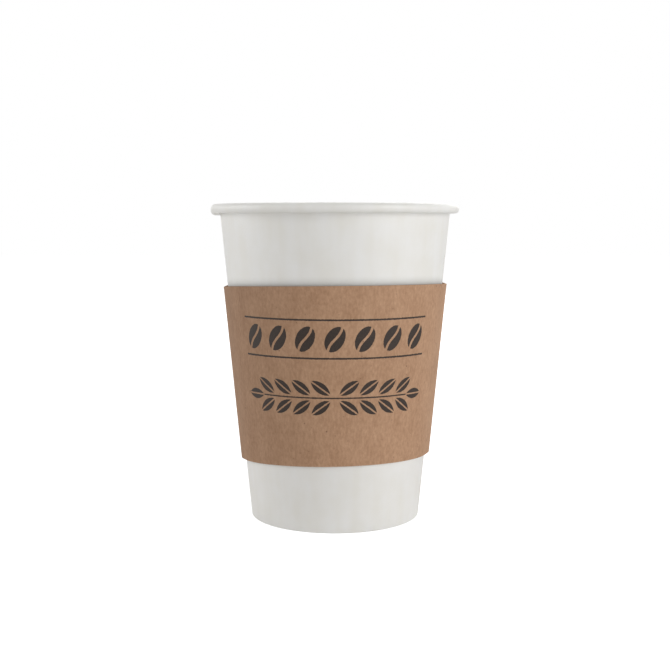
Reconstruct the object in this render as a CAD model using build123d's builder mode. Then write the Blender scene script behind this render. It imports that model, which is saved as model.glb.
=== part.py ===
"""Paper coffee cup with a kraft board sleeve, in millimetres.

The cup stands on z = 0 with its axis on Z. The front of the sleeve faces -Y, its two folds lie on
+X and -X, and the cup's own side seam runs down the back, on +Y.
"""

import os
from math import acos, asin, atan2, cos, degrees, radians, sin, tan

from build123d import *

# Cup, overall
height = 113.0  # from the table to the top of the rolled rim
rim_diameter = 90.0  # outside of the rolled rim
foot_diameter = 61.0  # outside of the wall, drawn down to the table
base_height = 9.0  # from the table to the upper face of the base disc

# Cup board and how it is worked
wall_board = 0.35
base_board = 0.35
curl_diameter = 3.6  # outside of the rolled rim's own section
curl_air = 0.1  # left between one turn of the roll and the next
curl_tuck = 100.0  # degrees that the roll goes on, past its first full turn
base_bend = 0.9  # outer radius where the base disc turns down into its skirt
foot_crease = 0.05  # inner radius of the two creases at the foot
glue_line = 0.03  # between two plies that are sealed together
hem_clearance = 0.6  # from the hem's upper edge to the bend of the base
seam_width = 8.0  # lap of the side seam
seam_feather = 9.0  # over which a lap's outer ply comes back down to the face below
feather_middle = 0.4  # share of the ply's thickness left half way down

# Sleeve
sleeve_board = 0.5
sleeve_gap = 0.2  # between the sleeve and the wall it is wedged on
sleeve_bottom = 24.0  # height of its lower edge at the middle of the front
sleeve_top = 85.7  # height of its upper edge at the middle of the front
bottom_droop = 2.8  # how far the lower edge falls from the middle to a fold
top_droop = 1.9  # the same for the upper edge
bottom_tilt = 1.1  # how far the lower edge rises from the middle towards +X
top_tilt = 0.55  # the same for the upper edge
fold_stand = 1.1  # how far a fold stands out past the sleeve's round faces
fold_ease = 1.3  # length of the lift towards a fold, over that of a straight tangent
sleeve_lap = 14.0  # width of the glued lap
sleeve_lap_turn = 28.0  # degrees round the back, from +Y, to the lap's middle
edge_steps = 4  # points that shape a die-cut edge, from its middle to a fold
cut_spare = 3.0  # how far the uncut loop runs past the die-cut edges

# The wall's outer face runs from the foot and lies against the inside of the roll.
curl_radius = curl_diameter / 2
curl_x = rim_diameter / 2 - curl_radius
curl_z = height - curl_radius
foot_radius = foot_diameter / 2
foot_to_curl = Vector(curl_x - foot_radius, curl_z)
lean = atan2(foot_to_curl.X, foot_to_curl.Y) - asin((curl_radius - wall_board) / foot_to_curl.length)


def wall_radius(z):
    """Radius of the wall's outer face at height z."""
    return foot_radius + z * tan(lean)


def in_wall(z, depth):
    """The section's point at height z that lies depth in from the wall's outer face."""
    return Vector(wall_radius(z) - depth / cos(lean), z)


def around(radius, degrees_from_x):
    """A point that far out from the axis, at an angle from +X."""
    turn = radians(degrees_from_x)
    return Vector(radius * cos(turn), radius * sin(turn))


def lap_section(z, face_radius, ply, width, feather, middle):
    """One height of a lapped ply: full thickness over its width, then falling to the face."""
    half = degrees(width / 2 / face_radius)
    fade = degrees(feather / face_radius)
    first = middle - half
    last = middle + half
    with BuildSketch(Plane.XY.offset(z)) as section:
        with BuildLine():
            step = Line(around(face_radius - ply / 2, first), around(face_radius + ply, first))
            full = ThreePointArc(step @ 1, around(face_radius + ply, middle), around(face_radius + ply, last))
            fall = ThreePointArc(
                full @ 1,
                around(face_radius + ply * feather_middle, last + fade / 2),
                around(face_radius, last + fade),
            )
            end = Line(fall @ 1, around(face_radius - ply / 2, last + fade))
            ThreePointArc(end @ 1, around(face_radius - ply / 2, middle), step @ 0)
        make_face()
    return section.sketch


def sleeve_section(z, depth):
    """One height of the sleeve's outer face, or of the face that lies depth in from it.

    The front follows the cup. The back passes over the cup's seam, which stands one ply out.
    Beside each fold the board leaves the cup on a tangent and rises to the fold.
    """
    radius = wall_radius(z) + sleeve_gap + sleeve_board - depth
    fold = radius + fold_stand
    ease = fold_ease * degrees(acos(radius / fold))
    with BuildSketch(Plane.XY.offset(z)) as section:
        with BuildLine():
            front = ThreePointArc(around(radius, 180 + ease), (0, -radius), around(radius, -ease))
            to_right = TangentArc(front @ 1, (fold, 0), tangent=front % 1)
            to_left = TangentArc(front @ 0, (-fold, 0), tangent=-(front % 0))
            back = ThreePointArc(around(radius, ease), (0, radius + wall_board), around(radius, 180 - ease))
            TangentArc(back @ 0, to_right @ 1, tangent=around(1, ease - 90))
            TangentArc(back @ 1, to_left @ 1, tangent=around(1, 270 - ease))
        make_face()
    return section.sketch


def edge_points(middle_height, droop, tilt):
    """Points of a die-cut edge, seen from the front, from the left fold to the right one."""
    reach = wall_radius(middle_height) + sleeve_gap + sleeve_board + fold_stand
    shares = [step / edge_steps for step in range(-edge_steps, edge_steps + 1)]
    return [(reach * sin(radians(90 * s)), middle_height + tilt * s - droop * s * s) for s in shares]


# Cup wall: one blank. Both its faces run down the hem, across the foot, up the wall and round the
# rolled rim, with the board's thickness between them.
skirt_depth = wall_board + glue_line
hem_depth = skirt_depth + base_board + glue_line
hem_top = base_height - base_bend - hem_clearance
turn_loss = (wall_board + curl_air) / 2
second_radius = curl_radius - turn_loss
third_radius = second_radius - turn_loss
wall_side = 180 - degrees(lean)  # where the wall meets the roll, as an angle about its middle
seam_low = wall_board + foot_crease
seam_high = curl_z - curl_radius

with BuildPart() as cup_wall:
    with BuildSketch(Plane.XZ):
        with BuildLine():
            ends = []
            for inset in (0, wall_board):
                face_depth = wall_board - inset  # in from the wall's outer face, and up from the table
                over = CenterArc((curl_x, curl_z), curl_radius - inset, wall_side, -wall_side)
                wall = FilletPolyline(
                    in_wall(hem_top, hem_depth + inset),
                    in_wall(face_depth, hem_depth + inset),
                    in_wall(face_depth, face_depth),
                    over @ 0,
                    radius=foot_crease + inset,
                )
                CenterArc((curl_x + turn_loss, curl_z), second_radius - inset, 0, -180)
                tuck = CenterArc((curl_x, curl_z), third_radius - inset, 180, -curl_tuck)
                ends.append((wall @ 0, tuck @ 1))
            Line(ends[0][0], ends[1][0])
            Line(ends[0][1], ends[1][1])
        make_face()
    revolve(axis=Axis.Z)
    for z in (seam_low, seam_high):
        add(lap_section(z, wall_radius(z), wall_board, seam_width, seam_feather, 90))
    loft(ruled=True)
cup_wall.part.label = "cup_wall"

# Cup base: a disc whose edge turns down between the wall and the hem.
skirt_low = wall_board + foot_crease + glue_line

with BuildPart() as cup_base:
    with BuildSketch(Plane.XZ):
        with BuildLine():
            ends = []
            for inset in (0, base_board):
                face = FilletPolyline(
                    in_wall(skirt_low, skirt_depth + inset),
                    in_wall(base_height - inset, skirt_depth + inset),
                    (0, base_height - inset),
                    radius=base_bend - inset,
                )
                ends.append((face @ 0, face @ 1))
            Line(ends[0][0], ends[1][0])
            Line(ends[0][1], ends[1][1])
        make_face()
    revolve(axis=Axis.Z)
cup_base.part.label = "cup_base"

# Sleeve: one ply round the cup, with its two folds and its glued lap, cut to its die-cut edges.
loop_low = sleeve_bottom - bottom_droop - bottom_tilt - cut_spare
loop_high = sleeve_top + top_tilt + cut_spare
sleeve_reach = wall_radius(loop_high) + fold_stand + cut_spare

with BuildPart() as kraft_sleeve:
    for z in (loop_low, loop_high):
        add(sleeve_section(z, 0))
    loft(ruled=True)
    for z in (loop_low, loop_high):
        face_radius = wall_radius(z) + wall_board + sleeve_gap + sleeve_board
        add(lap_section(z, face_radius, sleeve_board, sleeve_lap, seam_feather, 90 + sleeve_lap_turn))
    loft(ruled=True)
    for z in (loop_low, loop_high):
        add(sleeve_section(z, sleeve_board))
    loft(ruled=True, mode=Mode.SUBTRACT)
    with BuildSketch(Plane.XZ):
        with BuildLine():
            upper = Spline(*edge_points(sleeve_top, top_droop, top_tilt))
            lower = Spline(*edge_points(sleeve_bottom, bottom_droop, bottom_tilt))
            for side, end in ((-sleeve_reach, 0), (sleeve_reach, 1)):
                high, low = upper @ end, lower @ end
                Polyline(high, (side, high.Y), (side, low.Y), low)
        make_face()
    extrude(amount=sleeve_reach, both=True, mode=Mode.INTERSECT)
kraft_sleeve.part.label = "kraft_sleeve"

os.makedirs("parts", exist_ok=True)
export_step(cup_wall.part, "parts/cup_wall.step")
export_step(cup_base.part, "parts/cup_base.step")
export_step(kraft_sleeve.part, "parts/kraft_sleeve.step")
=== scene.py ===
"""Paper coffee cup with a kraft sleeve: the finish of its three pieces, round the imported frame.

The wall and the base are spun from their board's section. The sleeve is a flat blank set round the
cup. Lengths are in metres, and mm turns a size in millimetres into them.
"""

from math import asin, atan2, cos, hypot, pi, radians, sin, tan

import bmesh
import bpy
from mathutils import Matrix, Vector


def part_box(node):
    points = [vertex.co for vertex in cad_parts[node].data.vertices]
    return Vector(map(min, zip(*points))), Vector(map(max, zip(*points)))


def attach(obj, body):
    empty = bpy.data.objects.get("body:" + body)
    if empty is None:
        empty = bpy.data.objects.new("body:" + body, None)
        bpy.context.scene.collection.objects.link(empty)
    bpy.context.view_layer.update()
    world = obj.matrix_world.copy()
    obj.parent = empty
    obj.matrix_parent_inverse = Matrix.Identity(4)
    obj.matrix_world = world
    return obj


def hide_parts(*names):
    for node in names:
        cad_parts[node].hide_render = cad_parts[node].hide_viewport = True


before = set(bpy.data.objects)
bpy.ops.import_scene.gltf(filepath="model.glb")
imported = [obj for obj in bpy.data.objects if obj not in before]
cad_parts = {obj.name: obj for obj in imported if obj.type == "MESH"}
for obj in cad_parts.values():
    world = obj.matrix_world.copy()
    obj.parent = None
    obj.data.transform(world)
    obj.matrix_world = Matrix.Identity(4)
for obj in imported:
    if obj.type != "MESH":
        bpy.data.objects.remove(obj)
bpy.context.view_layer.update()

mm = 0.001

# Cup. The rim, the height and the base's height come from the frame.
rim_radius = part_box("cup_wall")[1][0]
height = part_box("cup_wall")[1][2]
foot_radius = 30.5 * mm
base_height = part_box("cup_base")[1][2]
wall_board = 0.35 * mm
base_board = 0.35 * mm
curl_radius = 1.8 * mm
curl_air = 0.1 * mm
curl_tuck = radians(100)
base_bend = 0.9 * mm
foot_crease = 0.05 * mm
glue_line = 0.03 * mm
hem_clearance = 0.6 * mm
seam_width = 8.0 * mm
seam_feather = 9.0 * mm
sleeve_edge_shade_reach = 3.5 * mm  # how far above and below the sleeve's upper edge the wall's colour is darkened as painted shade
sleeve_edge_shade_strength = 0.6
rim_sag = 0.7 * mm
rim_sag_turn = radians(14)  # either side of -X
rim_sag_reach = 4.0 * mm

# Sleeve
sleeve_board = 0.5 * mm
sleeve_gap = 0.2 * mm
sleeve_bottom = 23.8 * mm
sleeve_top = 85.4 * mm
bottom_droop = 2.8 * mm
top_droop = 1.9 * mm
bottom_tilt = 1.1 * mm
top_tilt = 0.55 * mm
fold_stand = 1.1 * mm
fold_ease = radians(18)
sleeve_lap = 14.0 * mm
sleeve_lap_turn = radians(28)
cut_edge_bevel = 0.08 * mm
fold_sharpness = radians(15)  # under the turn at a fold, over that from column to column

# Print on the front of the sleeve. Across is along the board, from the middle of the front.
print_radius = 37.2 * mm
ink_spread = 0.3 * mm  # how far the fibres carry the ink's edge to and fro
ink_edge = 0.06 * mm  # half the width over which the ink fades at its edge
sprig_stem = 47.5 * mm
print_rules = [  # height, half length, half width
    (74.0 * mm, 35.0 * mm, 0.3 * mm),
    (61.0 * mm, 35.0 * mm, 0.3 * mm),
    (sprig_stem, 27.5 * mm, 0.25 * mm),
]
bean_count = 7
bean_pitch = 10.0 * mm
bean_height = 67.5 * mm
bean_tilt = radians(28)
bean_half_width = 3.1 * mm
bean_half_length = 4.6 * mm
bean_crease = 0.42 * mm  # half the width of the line down a bean
bean_crease_swing = 0.16
bean_crease_turns = 2.6
leaf_vein = 0.5 * mm
leaf_tilt = radians(55)
leaf_pairs = 4
leaf_pitch = 7.0 * mm
leaf_first = 5.0 * mm
leaf_off_stem = 3.4 * mm
sprig_leaves = [(31.5 * mm, sprig_stem, pi / 2, 8.0 * mm, 3.6 * mm)]  # across, height, tilt, length, width
for pair in range(leaf_pairs):
    for side in (1, -1):
        place = (leaf_first + leaf_pitch * pair, sprig_stem + side * leaf_off_stem)
        sprig_leaves.append((*place, side * leaf_tilt, 8.4 * mm, 3.6 * mm))
kraft_specks = [  # cell, radius, colour and strength
    (5.5 * mm, 0.38 * mm, "#5A3C2A", 0.75),
    (3.4 * mm, 0.34 * mm, "#84604A", 0.5),
]

# The wall leans from the foot to the inside of the roll.
curl_x = rim_radius - curl_radius
curl_z = height - curl_radius
foot_to_curl = hypot(curl_x - foot_radius, curl_z)
lean = atan2(curl_x - foot_radius, curl_z) - asin((curl_radius - wall_board) / foot_to_curl)


def wall_radius(z):
    """Radius of the wall's outer face at height z."""
    return foot_radius + z * tan(lean)


def in_wall(z, depth):
    """(radius, height) of the section's point at height z that lies depth in from the outer face."""
    return Vector((wall_radius(z) - depth / cos(lean), z))


# ---------------------------------------------------------------- modelling by hand


def deselect():
    bpy.ops.object.select_all(action="DESELECT")


def pick(piece, test):
    """Selects, in edit mode, the points that pass the test, and what lies between them."""
    mesh = bmesh.from_edit_mesh(piece.data)
    for vertex in mesh.verts:
        vertex.select = test(vertex.co)
    mesh.select_flush_mode()
    bmesh.update_edit_mesh(piece.data)


def start_section(name, points, turn):
    """Draws a section of (radius, height) points at that turn from +X, point by point, in edit mode."""
    deselect()
    places = [Vector((r * cos(turn), r * sin(turn), z)) for r, z in points]
    bpy.ops.mesh.primitive_plane_add(size=mm, location=places[0])
    piece = bpy.context.object
    piece.name = name
    bpy.ops.object.transform_apply(location=True)
    bpy.ops.object.mode_set(mode="EDIT")
    bpy.ops.mesh.select_all(action="SELECT")
    bpy.ops.mesh.merge(type="CENTER")
    bpy.ops.mesh.select_mode(type="VERT")
    for here, there in zip(places, places[1:]):
        bpy.ops.mesh.extrude_vertices_move(TRANSFORM_OT_translate={"value": there - here})
    return piece


def arc(centre, radius, start, sweep, steps):
    """Points of an arc in the section, the first and the last included."""
    turns = [start + sweep * step / steps for step in range(steps + 1)]
    return [(centre[0] + radius * cos(turn), centre[1] + radius * sin(turn)) for turn in turns]


def corner(before, point, after, radius, steps):
    """The arc that rounds a corner of the section."""
    into = (Vector(before) - Vector(point)).normalized()
    out = (Vector(after) - Vector(point)).normalized()
    half = into.angle(out) / 2
    centre = Vector(point) + (into + out).normalized() * radius / sin(half)
    first = Vector(point) + into * radius / tan(half) - centre
    last = Vector(point) + out * radius / tan(half) - centre
    turn = atan2(first.y, first.x)
    sweep = (atan2(last.y, last.x) - turn + pi) % (2 * pi) - pi
    return arc(centre, radius, turn, sweep, steps)


def between(low, high, steps):
    """Points that divide a straight stretch of the section, its ends left out."""
    return [tuple(Vector(low).lerp(Vector(high), step / steps)) for step in range(1, steps)]


def apply_modifier(piece, kind, **settings):
    modifier = piece.modifiers.new(kind.lower(), kind)
    for name, value in settings.items():
        setattr(modifier, name, value)
    bpy.context.view_layer.objects.active = piece
    bpy.ops.object.modifier_apply(modifier=modifier.name)


def give_thickness(piece, board, **slots):
    """Turns the board's middle into a closed board, half its thickness to each side."""
    apply_modifier(piece, "SOLIDIFY", thickness=board, offset=0, use_even_offset=True, **slots)


def finish_piece(piece, node, materials, smooth_angle=radians(35)):
    """Puts the piece on the body in the node's place, with its materials and smooth faces."""
    for material in materials:
        piece.data.materials.append(material)
    deselect()
    piece.select_set(True)
    bpy.context.view_layer.objects.active = piece
    bpy.ops.object.shade_smooth_by_angle(angle=smooth_angle)
    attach(piece, "root")
    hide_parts(node)


# ---------------------------------------------------------------- cup wall

columns = 240  # round the cup
column_turn = 2 * pi / columns
middle_board = wall_board / 2
hem_depth = wall_board + base_board + 2 * glue_line + middle_board
turn_loss = (wall_board + curl_air) / 2


def wall_section():
    """The blank's middle, from the top of the hem, round the foot and up to the end of the roll."""
    bend = foot_crease + middle_board
    hem_top = in_wall(base_height - base_bend - hem_clearance, hem_depth)
    hem_corner = in_wall(middle_board, hem_depth)
    wall_corner = in_wall(middle_board, middle_board)
    over = arc((curl_x, curl_z), curl_radius - middle_board, pi - lean, lean - pi, 26)
    under = arc((curl_x + turn_loss, curl_z), curl_radius - turn_loss - middle_board, 0, -pi, 22)
    tuck = arc((curl_x, curl_z), curl_radius - 2 * turn_loss - middle_board, pi, -curl_tuck, 10)
    hem_bend = corner(hem_top, hem_corner, wall_corner, bend, 4)
    wall_bend = corner(hem_corner, wall_corner, over[0], bend, 4)
    hem = [tuple(hem_top)] + between(hem_top, hem_bend[0], 4)
    wall = between(wall_bend[-1], over[0], 30)
    return hem + hem_bend + wall_bend + wall + over + under[1:] + tuck[1:]


def sag_rim(piece):
    """The roll hangs a little lower on the -X side, where it was closed less tightly."""
    low = curl_z - 2 * mm
    high = curl_z - curl_radius / 2

    def in_sag(place):
        toward_fold = place.x < -curl_x * cos(rim_sag_turn)
        return toward_fold and hypot(place.x, place.y) < curl_x and low < place.z < high

    pick(piece, in_sag)
    bpy.ops.transform.translate(
        value=(0, 0, -rim_sag),
        use_proportional_edit=True,
        use_proportional_connected=True,
        proportional_edit_falloff="SMOOTH",
        proportional_size=rim_sag_reach,
    )


def make_wall():
    """One blank, spun round from its inner edge, the last of it climbing over the first as the seam."""
    lap_columns = round(seam_width / wall_radius(height / 2) / column_turn)
    feather_columns = round(seam_feather / wall_radius(height / 2) / column_turn)
    inner_edge = pi / 2 + column_turn * lap_columns / 2
    piece = start_section("rolled_wall", wall_section(), inner_edge)
    bpy.ops.mesh.select_all(action="SELECT")
    plain_columns = columns - feather_columns
    spin_axis = dict(center=(0, 0, 0), axis=(0, 0, 1))
    bpy.ops.mesh.spin(steps=plain_columns, angle=-plain_columns * column_turn, **spin_axis)
    climb = (wall_board + glue_line) / feather_columns
    for column in range(feather_columns + lap_columns):
        bpy.ops.mesh.spin(steps=1, angle=-column_turn, **spin_axis)
        if column < feather_columns:
            bpy.ops.transform.shrink_fatten(value=-climb)
    pick(piece, lambda place: place.z < middle_board)
    bpy.ops.transform.resize(value=(1, 1, 0), center_override=(0, 0, middle_board))
    sag_rim(piece)
    bpy.ops.object.mode_set(mode="OBJECT")
    give_thickness(piece, wall_board, material_offset_rim=1)
    finish_piece(piece, "cup_wall", [coated_cup_board(), cut_cup_board()])
    return piece


# ---------------------------------------------------------------- cup base


def base_section():
    """The disc's middle, from the skirt's lower edge, over the bend and in to the centre."""
    depth = wall_board + glue_line + base_board / 2
    disc = base_height - base_board / 2
    skirt_low = in_wall(wall_board + foot_crease + glue_line, depth)
    skirt_top = in_wall(disc, depth)
    bend = corner(skirt_low, skirt_top, (0, disc), base_bend - base_board / 2, 8)
    skirt = [tuple(skirt_low)] + between(skirt_low, bend[0], 4)
    return skirt + bend + between(bend[-1], (0, disc), 12) + [(0, disc)]


def make_base():
    piece = start_section("drawn_base", base_section(), 0)
    bpy.ops.mesh.select_all(action="SELECT")
    bpy.ops.mesh.spin(steps=columns, angle=2 * pi, center=(0, 0, 0), axis=(0, 0, 1))
    bpy.ops.mesh.select_all(action="SELECT")
    bpy.ops.mesh.remove_doubles(threshold=0.01 * mm)
    bpy.ops.mesh.normals_make_consistent(inside=False)
    bpy.ops.object.mode_set(mode="OBJECT")
    give_thickness(piece, base_board, material_offset_rim=1)
    finish_piece(piece, "cup_base", [coated_cup_board(), cut_cup_board()])
    return piece


# ---------------------------------------------------------------- sleeve

sleeve_rows = 40


def sleeve_lift(turn):
    """How far the sleeve stands off its round shape at that turn: at the folds, and over the seam."""
    to_fold = min(turn % pi, pi - turn % pi)
    rise = max(0.0, 1 - to_fold / fold_ease)
    over_seam = max(0.0, sin(turn) - sin(fold_ease)) / (1 - sin(fold_ease))
    return fold_stand * rise * rise + wall_board * over_seam


def sleeve_edges(turn):
    """Heights of the die-cut lower and upper edges at that turn."""
    side = asin(max(-1.0, min(1.0, cos(turn)))) / (pi / 2)
    low = sleeve_bottom + bottom_tilt * side - bottom_droop * side * side
    high = sleeve_top + top_tilt * side - top_droop * side * side
    return low, high


def make_sleeve():
    """The flat blank, set round the cup with its folds at the sides and one end glued over the other."""
    middle_radius = wall_radius((sleeve_bottom + sleeve_top) / 2)
    lap_columns = round(sleeve_lap / middle_radius / column_turn)
    feather_columns = round(seam_feather / middle_radius / column_turn)
    first_column = round((pi / 2 + sleeve_lap_turn) / column_turn - lap_columns / 2)
    blank_columns = columns + lap_columns
    deselect()
    bpy.ops.mesh.primitive_grid_add(x_subdivisions=blank_columns, y_subdivisions=sleeve_rows, size=1)
    piece = bpy.context.object
    piece.name = "kraft_sleeve_blank"
    for vertex in piece.data.vertices:
        column = (vertex.co.x + 0.5) * blank_columns
        share = vertex.co.y + 0.5
        turn = (first_column + column) * column_turn
        under = max(0.0, min(1.0, (column - lap_columns) / feather_columns))
        low, high = sleeve_edges(turn)
        z = low + share * (high - low)
        radius = wall_radius(z) + sleeve_gap + sleeve_board / 2 + sleeve_lift(turn)
        radius += (sleeve_board + glue_line) * (1 - under * under * (3 - 2 * under))
        vertex.co = (radius * cos(turn), radius * sin(turn), z)
    bpy.context.view_layer.objects.active = piece
    outer_face = kraft_board("printed_kraft_board", True)
    inner_face = kraft_board("plain_kraft_board", False)
    materials = [outer_face, inner_face, cut_kraft_board()]
    give_thickness(piece, sleeve_board, material_offset=1, material_offset_rim=2)
    cut_edges = dict(limit_method="ANGLE", angle_limit=radians(60))
    apply_modifier(piece, "BEVEL", width=cut_edge_bevel, segments=2, **cut_edges)
    finish_piece(piece, "kraft_sleeve", materials, fold_sharpness)
    return piece


# ---------------------------------------------------------------- materials


def linear(colour):
    """A hex sRGB colour as linear red, green, blue and alpha."""
    shares = [int(colour[i : i + 2], 16) / 255 for i in (1, 3, 5)]
    return tuple(s / 12.92 if s <= 0.04045 else ((s + 0.055) / 1.055) ** 2.4 for s in shares) + (1.0,)


def add(tree, kind, inputs=None, output=0, **settings):
    """Adds a node. Its inputs, by name or place, take values or other nodes' outputs."""
    node = tree.nodes.new("ShaderNode" + kind)
    for name, value in settings.items():
        setattr(node, name, value)
    for key, value in (inputs or {}).items():
        if isinstance(value, bpy.types.NodeSocket):
            tree.links.new(value, node.inputs[key])
        else:
            node.inputs[key].default_value = value
    return node.outputs[output]


def new_material(name):
    material = bpy.data.materials.new(name)
    material.use_nodes = True
    tree = material.node_tree
    return material, tree, tree.nodes["Principled BSDF"]


def per_metre(wavelength):
    """Noise scale whose features are about that long."""
    return 1 / wavelength


def painted_sleeve_edge_shade(tree, place):
    """Painted shade round the sleeve's upper edge: how far the wall's colour is darkened, most at the edge,
    fading above and below.
    """
    parts = add(tree, "SeparateXYZ", {0: place}).node.outputs
    depth = add(tree, "Math", {0: parts["Y"]}, operation="ABSOLUTE")
    turn = add(tree, "Math", {0: parts["X"], 1: depth}, operation="ARCTAN2")
    side = add(tree, "Math", {0: turn, 1: 2 / pi}, operation="MULTIPLY")
    square = add(tree, "Math", {0: side, 1: side}, operation="MULTIPLY")
    tilt = add(tree, "Math", {0: side, 1: -top_tilt, 2: parts["Z"]}, operation="MULTIPLY_ADD")
    level = add(tree, "Math", {0: square, 1: top_droop, 2: tilt}, operation="MULTIPLY_ADD")
    above = {"Value": level, "From Min": sleeve_top + sleeve_edge_shade_reach, "From Max": sleeve_top}
    below = {"Value": level, "From Min": sleeve_top - sleeve_edge_shade_reach, "From Max": sleeve_top}
    soft = add(tree, "Math", {0: add(tree, "MapRange", above), 1: 2.0}, operation="POWER")
    return add(tree, "Math", {0: soft, 1: add(tree, "MapRange", below)}, operation="MULTIPLY")


def coated_cup_board():
    """Bleached cup board with a thin polyethylene coat, extruded on: warm white with a soft satin sheen,
    clouded by the pulp, faintly banded up the wall, and darkened by painted shade, on both faces, at the
    sleeve's upper edge."""
    material, tree, shader = new_material("coated_cup_board")
    place = add(tree, "TexCoord", output="Object")
    upright = add(tree, "Mapping", {"Vector": place, "Scale": (1, 1, 0.12)})
    clouds = add(tree, "TexNoise", {"Vector": place, "Scale": per_metre(9 * mm), "Detail": 3.0})
    bands = add(tree, "TexNoise", {"Vector": upright, "Scale": per_metre(5 * mm), "Detail": 2.0})
    fibres = add(tree, "TexNoise", {"Vector": place, "Scale": per_metre(0.7 * mm), "Detail": 4.0})
    pulp = add(tree, "Math", {0: clouds, 1: bands}, operation="ADD")
    tone = add(tree, "MapRange", {"Value": pulp, "From Min": 0.75, "From Max": 1.25})
    board = add(tree, "MixRGB", {"Fac": tone, "Color1": linear("#EEECE6"), "Color2": linear("#F2F1EE")})
    # Painted shade: the wall's colour is pushed towards grey round the sleeve's upper edge.
    painted_shade = add(tree, "Math", {0: painted_sleeve_edge_shade(tree, place), 1: sleeve_edge_shade_strength}, operation="MULTIPLY")
    shaded_board = add(tree, "MixRGB", {"Fac": painted_shade, "Color1": board, "Color2": linear("#6E706E")})
    tree.links.new(shaded_board, shader.inputs["Base Color"])
    satin = add(tree, "MapRange", {"Value": fibres, "To Min": 0.38, "To Max": 0.5})
    tree.links.new(satin, shader.inputs["Roughness"])
    grain = add(tree, "Bump", {"Height": fibres, "Strength": 0.25, "Distance": 0.02 * mm})
    tree.links.new(grain, shader.inputs["Normal"])
    shader.inputs["Coat Weight"].default_value = 0.25
    shader.inputs["Coat Roughness"].default_value = 0.3
    return material


def cut_cup_board():
    """The cup board's own cut edge, with no coat: raw matt pulp, a shade darker than the faces."""
    material, tree, shader = new_material("cut_cup_board")
    place = add(tree, "TexCoord", output="Object")
    layers = add(tree, "TexNoise", {"Vector": place, "Scale": per_metre(0.25 * mm), "Detail": 3.0})
    pulp = add(tree, "MixRGB", {"Fac": layers, "Color1": linear("#C9C2B4"), "Color2": linear("#E2DED4")})
    tree.links.new(pulp, shader.inputs["Base Color"])
    grain = add(tree, "Bump", {"Height": layers, "Strength": 0.4, "Distance": 0.03 * mm})
    tree.links.new(grain, shader.inputs["Normal"])
    shader.inputs["Roughness"].default_value = 0.85
    return material


# Each printed mark is a distance: negative inside the mark. The ink is wherever one of them is.


def rule_marks(tree, aside, up):
    """Thin lines along the board."""
    marks = []
    for rule_height, half_length, half_width in print_rules:
        rise = add(tree, "Math", {0: up, 1: rule_height}, operation="SUBTRACT")
        off = add(tree, "Math", {0: rise}, operation="ABSOLUTE")
        thick = add(tree, "Math", {0: off, 1: half_width}, operation="SUBTRACT")
        past = add(tree, "Math", {0: aside, 1: half_length}, operation="SUBTRACT")
        marks.append(add(tree, "Math", {0: thick, 1: past}, operation="MAXIMUM"))
    return marks


def bean_mark(tree, across, aside, up):
    """A row of tilted beans, each an oval with a curved line left bare down it."""
    in_pitch = add(tree, "Math", {0: across, 1: -bean_pitch / 2, 2: bean_pitch / 2}, operation="WRAP")
    rise = add(tree, "Math", {0: up, 1: bean_height}, operation="SUBTRACT")
    bean_place = add(tree, "CombineXYZ", {"X": in_pitch, "Y": rise})
    tilted = add(tree, "VectorRotate", {"Vector": bean_place, "Angle": bean_tilt})
    to_unit = (1 / bean_half_width, 1 / bean_half_length, 0)
    shaped = add(tree, "VectorMath", {0: tilted, 1: to_unit}, operation="MULTIPLY")
    reach = add(tree, "VectorMath", {0: shaped}, output="Value", operation="LENGTH")
    oval = add(tree, "Math", {0: reach, 1: 1.0}, operation="SUBTRACT")
    body = add(tree, "Math", {0: oval, 1: bean_half_width}, operation="MULTIPLY")
    parts = add(tree, "SeparateXYZ", {0: shaped}).node.outputs
    swing = add(tree, "Math", {0: parts["Y"], 1: bean_crease_turns}, operation="MULTIPLY")
    wave = add(tree, "Math", {0: swing}, operation="SINE")
    bend = add(tree, "Math", {0: wave, 1: -bean_crease_swing, 2: parts["X"]}, operation="MULTIPLY_ADD")
    side = add(tree, "Math", {0: bend}, operation="ABSOLUTE")
    crease = add(tree, "Math", {0: side, 1: -bean_half_width, 2: bean_crease}, operation="MULTIPLY_ADD")
    split = add(tree, "Math", {0: body, 1: crease}, operation="MAXIMUM")
    row_end = add(tree, "Math", {0: aside, 1: bean_count * bean_pitch / 2}, operation="SUBTRACT")
    return add(tree, "Math", {0: split, 1: row_end}, operation="MAXIMUM")


def leaf_marks(tree, aside, up):
    """Pointed leaves, each where two circles overlap, with its middle vein left bare."""
    marks = []
    for leaf_across, leaf_up, tilt, length, width in sprig_leaves:
        circle = (length**2 + width**2) / (4 * width)
        rise = add(tree, "Math", {0: up, 1: leaf_up}, operation="SUBTRACT")
        side = add(tree, "Math", {0: aside, 1: leaf_across}, operation="SUBTRACT")
        leaf_place = add(tree, "CombineXYZ", {"X": side, "Y": rise})
        turned = add(tree, "VectorRotate", {"Vector": leaf_place, "Angle": tilt})
        parts = add(tree, "SeparateXYZ", {0: turned}).node.outputs
        half = add(tree, "Math", {0: parts["X"]}, operation="ABSOLUTE")
        pushed = add(tree, "Math", {0: half, 1: circle - width / 2}, operation="ADD")
        spoke = add(tree, "CombineXYZ", {"X": pushed, "Y": parts["Y"]})
        far = add(tree, "VectorMath", {0: spoke}, output="Value", operation="LENGTH")
        blade = add(tree, "Math", {0: far, 1: circle}, operation="SUBTRACT")
        vein = add(tree, "Math", {0: half, 1: -1.0, 2: leaf_vein / 2}, operation="MULTIPLY_ADD")
        marks.append(add(tree, "Math", {0: blade, 1: vein}, operation="MAXIMUM"))
    return marks


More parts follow.
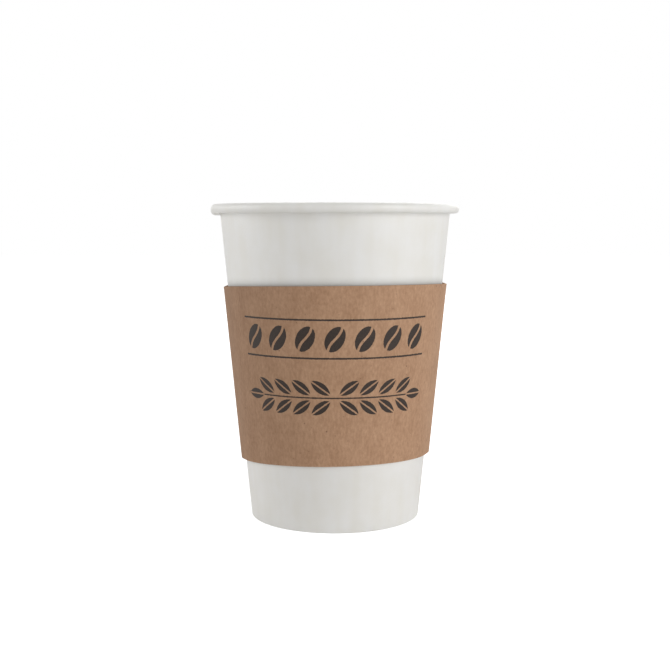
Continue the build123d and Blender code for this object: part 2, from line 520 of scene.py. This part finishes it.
def sleeve_print(tree, place):
    """How much ink lies at each point: coffee beans in a row between two rules, over a sprig of leaves."""
    fibre = {"Vector": place, "Scale": per_metre(0.5 * mm), "Detail": 2.0}
    jitter = add(tree, "TexNoise", fibre, output="Color")
    offset = add(tree, "VectorMath", {0: jitter, 1: (0.5, 0.5, 0.5)}, operation="SUBTRACT")
    spread = {0: offset, 1: (ink_spread,) * 3, 2: place}
    rough = add(tree, "VectorMath", spread, operation="MULTIPLY_ADD")
    parts = add(tree, "SeparateXYZ", {0: rough}).node.outputs
    front = add(tree, "Math", {0: parts["Y"], 1: -1.0}, operation="MULTIPLY")
    turn = add(tree, "Math", {0: parts["X"], 1: front}, operation="ARCTAN2")
    across = add(tree, "Math", {0: turn, 1: print_radius}, operation="MULTIPLY")
    aside = add(tree, "Math", {0: across}, operation="ABSOLUTE")
    up = parts["Z"]
    marks = rule_marks(tree, aside, up) + [bean_mark(tree, across, aside, up)] + leaf_marks(tree, aside, up)
    nearest = marks[0]
    for mark in marks[1:]:
        nearest = add(tree, "Math", {0: nearest, 1: mark}, operation="MINIMUM")
    printed = add(tree, "Math", {0: nearest, 1: parts["Y"]}, operation="MAXIMUM")  # the front half only
    return add(tree, "MapRange", {"Value": printed, "From Min": ink_edge, "From Max": -ink_edge})


def kraft_board(name, printed):
    """Uncoated kraft board off the mill roll: matt brown, clouded, with fibres that run up the sleeve,
    a scatter of dark specks, lighter rubbed folds, painted shade that darkens the side towards -X and,
    on the outer face, brown-black ink. The finest grain is drawn coarser than real fibres, so that it shows."""
    material, tree, shader = new_material(name)
    place = add(tree, "TexCoord", output="Object")
    upright = add(tree, "Mapping", {"Vector": place, "Scale": (1, 1, 0.5)})
    clouds = add(tree, "TexNoise", {"Vector": upright, "Scale": per_metre(5 * mm), "Detail": 3.0})
    fibre = {"Vector": upright, "Scale": per_metre(0.8 * mm), "Detail": 4.0, "Roughness": 0.55}
    fibres = add(tree, "TexNoise", fibre)
    fine = add(tree, "TexNoise", {"Vector": place, "Scale": per_metre(0.35 * mm), "Detail": 2.0})
    tone = add(tree, "Math", {0: fibres, 1: 0.55}, operation="MULTIPLY")
    clouded = add(tree, "Math", {0: clouds, 1: 0.3, 2: tone}, operation="MULTIPLY_ADD")
    mixed = add(tree, "Math", {0: fine, 1: 0.15, 2: clouded}, operation="MULTIPLY_ADD")
    share = add(tree, "MapRange", {"Value": mixed, "From Min": 0.3, "From Max": 0.7})
    board = add(tree, "MixRGB", {"Fac": share, "Color1": linear("#A17A5C"), "Color2": linear("#C7A081")})
    for cell, radius, colour, weight in kraft_specks:
        spots = add(tree, "TexVoronoi", {"Vector": place, "Scale": per_metre(cell)}, output="Distance")
        rim, core = radius / cell, 0.3 * radius / cell
        spot = add(tree, "MapRange", {"Value": spots, "From Min": rim, "From Max": core, "To Max": weight})
        board = add(tree, "MixRGB", {"Fac": spot, "Color1": board, "Color2": linear(colour)})
    parts = add(tree, "SeparateXYZ", {0: place}).node.outputs
    from_fold = add(tree, "Math", {0: parts["Y"]}, operation="ABSOLUTE")
    fold_wear = {"Value": from_fold, "From Min": 0.7 * mm, "From Max": 0.1 * mm, "To Max": 0.3}
    at_fold = add(tree, "MapRange", fold_wear)
    rubbed = add(tree, "Math", {0: at_fold, 1: fibres}, operation="MULTIPLY")
    board = add(tree, "MixRGB", {"Fac": rubbed, "Color1": board, "Color2": linear("#D0AE90")})
    # Painted shade: the board's colour darkens towards the -X side, down to 0.68 of itself.
    painted_shade_to_minus_x = {"Value": parts["X"], "From Min": -42 * mm, "From Max": -2 * mm, "To Min": 0.68}
    toward_fold = add(tree, "MapRange", painted_shade_to_minus_x)
    board = add(tree, "MixRGB", {"Fac": 1.0, "Color1": board, "Color2": toward_fold}, blend_type="MULTIPLY")
    rough = add(tree, "MapRange", {"Value": fibres, "To Min": 0.84, "To Max": 0.95})
    if printed:
        ink = sleeve_print(tree, place)
        bare_fibres = {"Value": fine, "From Min": 0.3, "From Max": 0.6, "To Min": 0.95}
        cover = add(tree, "MapRange", bare_fibres)
        laid = add(tree, "Math", {0: ink, 1: cover}, operation="MULTIPLY")
        board = add(tree, "MixRGB", {"Fac": laid, "Color1": board, "Color2": linear("#251A13")})
        rough = add(tree, "Math", {0: ink, 1: -0.25, 2: rough}, operation="MULTIPLY_ADD")
    tree.links.new(board, shader.inputs["Base Color"])
    tree.links.new(rough, shader.inputs["Roughness"])
    grain = add(tree, "Bump", {"Height": mixed, "Strength": 0.6, "Distance": 0.06 * mm})
    tree.links.new(grain, shader.inputs["Normal"])
    return material


def cut_kraft_board():
    """The die-cut edge of the kraft board: crushed fibre, duller and a little darker than the faces."""
    material, tree, shader = new_material("cut_kraft_board")
    place = add(tree, "TexCoord", output="Object")
    layers = add(tree, "TexNoise", {"Vector": place, "Scale": per_metre(0.3 * mm), "Detail": 3.0})
    crushed = add(tree, "MixRGB", {"Fac": layers, "Color1": linear("#6B4A38"), "Color2": linear("#94705A")})
    tree.links.new(crushed, shader.inputs["Base Color"])
    grain = add(tree, "Bump", {"Height": layers, "Strength": 0.6, "Distance": 0.05 * mm})
    tree.links.new(grain, shader.inputs["Normal"])
    shader.inputs["Roughness"].default_value = 0.95
    return material


# ---------------------------------------------------------------- studio


def make_camera():
    """A little below the height of the rim and tipped down, with the frame shifted to hold the whole cup."""
    data = bpy.data.cameras.new("camera")
    data.lens = 60.85
    data.sensor_width = 36
    data.shift_y = -0.0822
    camera = bpy.data.objects.new("camera", data)
    camera.location = (0, -413.05 * mm, 107.04 * mm)
    camera.rotation_euler = (radians(90 - 3), 0, 0)
    bpy.context.collection.objects.link(camera)
    bpy.context.scene.camera = camera


softbox_distance = 1.2
softbox_size = 0.9


def softbox(name, azimuth, elevation, power):
    """A square softbox that faces the cup, azimuth counted from the front towards +X, in degrees."""
    data = bpy.data.lights.new(name, "AREA")
    data.shape = "SQUARE"
    data.size = softbox_size
    data.energy = power
    light = bpy.data.objects.new(name, data)
    turn = radians(azimuth)
    tilt = radians(elevation)
    middle = Vector((0, 0, height / 2))
    toward = Vector((sin(turn) * cos(tilt), -cos(turn) * cos(tilt), sin(tilt)))
    light.location = middle + toward * softbox_distance
    light.rotation_euler = toward.to_track_quat("Z", "Y").to_euler()
    bpy.context.collection.objects.link(light)


def make_floor():
    """A pale matt floor with a glow that only the camera sees, which brings it to white."""
    deselect()
    bpy.ops.mesh.primitive_plane_add(size=6, location=(0, 0, 0))
    floor = bpy.context.object
    floor.name = "floor"
    material = bpy.data.materials.new("white_floor")
    material.use_nodes = True
    tree = material.node_tree
    tree.nodes.clear()
    sight = add(tree, "LightPath", output="Is Camera Ray")
    matt = add(tree, "BsdfDiffuse", {"Color": linear("#F2F2F2")})
    glow = add(tree, "Emission", {"Color": (1, 1, 1, 1), "Strength": 0.68})
    none = add(tree, "Emission", {"Strength": 0.0})
    seen = add(tree, "MixShader", {0: sight, 1: none, 2: glow})
    both = add(tree, "AddShader", {0: matt, 1: seen})
    output = tree.nodes.new("ShaderNodeOutputMaterial")
    tree.links.new(both, output.inputs["Surface"])
    floor.data.materials.append(material)


def make_world():
    """White all round, dim as a light and full white to the eye and in reflections."""
    world = bpy.data.worlds.new("studio")
    bpy.context.scene.world = world
    world.use_nodes = True
    tree = world.node_tree
    tree.nodes.clear()
    path = tree.nodes.new("ShaderNodeLightPath")
    rays = {0: path.outputs["Is Camera Ray"], 1: path.outputs["Is Glossy Ray"]}
    seen = add(tree, "Math", rays, operation="MAXIMUM")
    strength = add(tree, "MapRange", {"Value": seen, "To Min": 0.38, "To Max": 1.0})
    background = add(tree, "Background", {"Color": (1, 1, 1, 1), "Strength": strength})
    output = tree.nodes.new("ShaderNodeOutputWorld")
    tree.links.new(background, output.inputs["Surface"])


make_camera()
make_world()
make_floor()
softbox("key_softbox", 52, 16, 7.0)
softbox("fill_softbox", -92, 16, 5.5)
softbox("back_softbox", 165, 30, 4.0)
make_wall()
make_base()
make_sleeve()
bpy.context.scene.view_settings.view_transform = "Standard"
